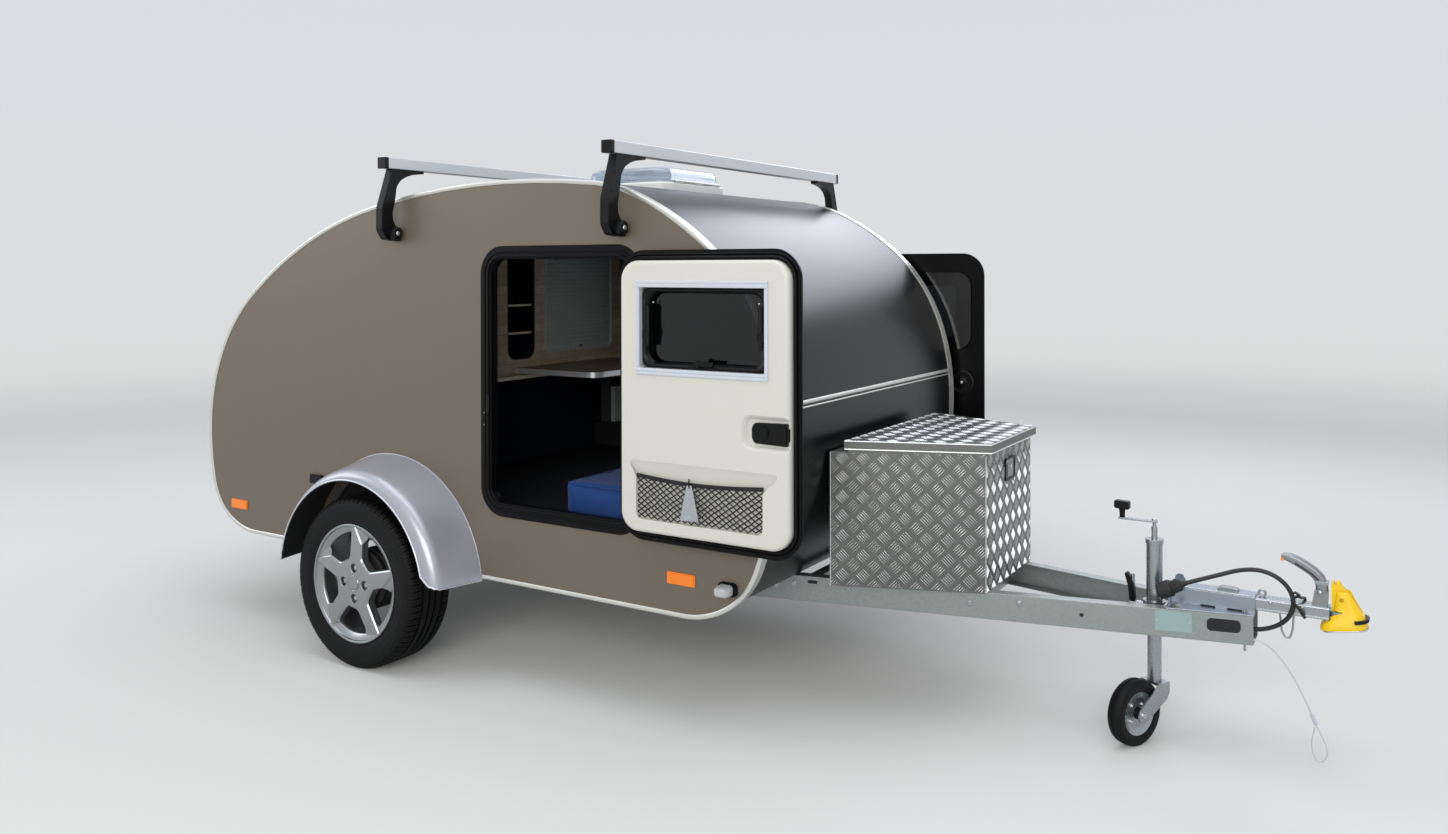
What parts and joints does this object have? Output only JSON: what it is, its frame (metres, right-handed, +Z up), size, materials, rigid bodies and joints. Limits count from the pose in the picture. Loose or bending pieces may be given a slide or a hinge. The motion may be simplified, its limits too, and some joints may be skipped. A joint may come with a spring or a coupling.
{
  "type": "teardrop trailer",
  "caption": "Teardrop camping trailer: hollow teardrop cabin with folding side doors, bed and lockers, drawbar with tool box, ball coupling, jockey wheel, roof bars",
  "frame": {"origin": "on the ground below the middle of the trailer's overall length and width, cords left out", "axes": "+X forwards to the coupling, +Y to the left, +Z up"},
  "size_m": [4.2788, 1.86, 1.87],
  "materials": {
    "side_panel": "matte taupe composite panel",
    "shell_black": "satin black skin",
    "trim": "anodised edge profile",
    "door_frame": "black powder coat",
    "door_panel": "white moulded inner panel",
    "door_skin": "black edge flange and skin",
    "window": "tinted acrylic pane",
    "lock": "black moulded latch",
    "fender": "silver paint, bright lip",
    "wheel_box": "black moulded liner",
    "floor": "boards under dark rib carpet",
    "furniture": "light stave decor board",
    "cabinet": "dark felt covered board",
    "shutter": "ribbed grey shutter",
    "table": "dark stave decor, aluminium edge",
    "cushion": "blue woven cover on foam",
    "vent_frame": "white moulded frame",
    "vent_dome": "clear smoked dome",
    "bar": "square roof bar",
    "bar_foot": "black coated cast foot",
    "tyre": "rubber",
    "rim": "silver painted alloy",
    "drum": "brake drum",
    "galvanised": "hot dip galvanised",
    "coupling": "zinc plated pressing",
    "lever": "zinc plated lever",
    "bumper": "yellow soft bumper",
    "jockey_steel": "zinc plated",
    "jockey_wheel": "black tyre on pressed wheel",
    "crank": "flat arm, black knob",
    "chequer": "chequer plate",
    "lamp": "orange, red and clear lenses",
    "cable_black": "black cable sheath",
    "plug": "black plug",
    "wire": "steel wire rope"
  },
  "bodies": {
    "trailer": {"axle_tube": "galvanised", "bar_feet": "bar_foot", "breakaway_cable": "wire", "breakaway_loop": "wire", "bulkhead": "furniture", "coupling_bracket": "galvanised", "coupling_bumper": "bumper", "coupling_head": "coupling", "coupling_lever": "lever", "cross_beams": "galvanised", "door_frames": "door_frame", "drawbar_rails": "galvanised", "edge_trims": "trim", "fenders": "fender", "floor_boards": "floor", "galley_unit": "cabinet", "jockey_clamp": "jockey_steel", "jockey_crank": "crank", "jockey_tube": "jockey_steel", "lamps": "lamp", "lead_cable": "cable_black", "lead_plug": "plug", "locker_shutters": "shutter", "mattress": "cushion", "rear_panel": "shell_black", "roof_and_front": "shell_black", "roof_bars": "bar", "side_walls": "side_panel", "swing_arms": "galvanised", "table_leaf": "table", "tool_box": "chequer", "vent_frame": "vent_frame", "wheel_boxes": "wheel_box"},
    "door_right": {"door_panel_right": "door_panel", "door_skin_right": "door_skin", "door_window_right": "window", "door_lock_right": "lock"},
    "door_left": {"door_panel_left": "door_panel", "door_skin_left": "door_skin", "door_window_left": "window", "door_lock_left": "lock"},
    "tailgate": {"tailgate_shell": "shell_black"},
    "roof_vent": {"vent_dome": "vent_dome"},
    "box_cover": {"box_lid": "chequer"},
    "wheel_right": {"rim_right": "rim", "tyre_right": "tyre", "hub_drum_right": "drum"},
    "wheel_left": {"rim_left": "rim", "tyre_left": "tyre", "hub_drum_left": "drum"},
    "jockey_stem": {"jockey_inner": "jockey_steel"},
    "jockey_caster": {"jockey_fork": "jockey_steel"},
    "jockey_roller": {"jockey_wheel": "jockey_wheel"}
  },
  "joints": [
    {"name": "door_right_hinge", "type": "hinge", "parent": "trailer", "child": "door_right", "pos_m": [0.11236, -0.775, 1.06], "axis": [0, 0, 1], "range_deg": [-180, 0]},
    {"name": "door_left_hinge", "type": "hinge", "parent": "trailer", "child": "door_left", "pos_m": [0.11236, 0.775, 1.06], "axis": [0, 0, 1], "range_deg": [0, 180]},
    {"name": "tailgate_hinge", "type": "hinge", "parent": "trailer", "child": "tailgate", "pos_m": [-1.64364, 0, 1.50081], "axis": [0, 1, 0], "range_deg": [0, 80]},
    {"name": "roof_vent_hinge", "type": "hinge", "parent": "trailer", "child": "roof_vent", "pos_m": [-0.12264, 0, 1.7895], "axis": [0, 1, 0], "range_deg": [0, 60]},
    {"name": "box_lid_hinge", "type": "hinge", "parent": "trailer", "child": "box_cover", "pos_m": [0.68436, 0, 0.874], "axis": [0, -1, 0], "range_deg": [0, 85]},
    {"name": "wheel_right_bearing", "type": "hinge", "parent": "trailer", "child": "wheel_right", "pos_m": [-1.03764, -0.8115, 0.312], "axis": [0, 1, 0], "continuous": true},
    {"name": "wheel_left_bearing", "type": "hinge", "parent": "trailer", "child": "wheel_left", "pos_m": [-1.03764, 0.8115, 0.312], "axis": [0, 1, 0], "continuous": true},
    {"name": "jockey_stem_slide", "type": "slide", "parent": "trailer", "child": "jockey_stem", "axis": [0, 0, 1], "range_m": [-0.08, 0.12]},
    {"name": "jockey_swivel", "type": "hinge", "parent": "jockey_stem", "child": "jockey_caster", "pos_m": [1.56536, 0, 0.18], "axis": [0, 0, 1], "continuous": true},
    {"name": "jockey_wheel_bearing", "type": "hinge", "parent": "jockey_caster", "child": "jockey_roller", "pos_m": [1.5215, -0.08427, 0.1], "axis": [-0.887, 0.4617, 0], "continuous": true}
  ]
}
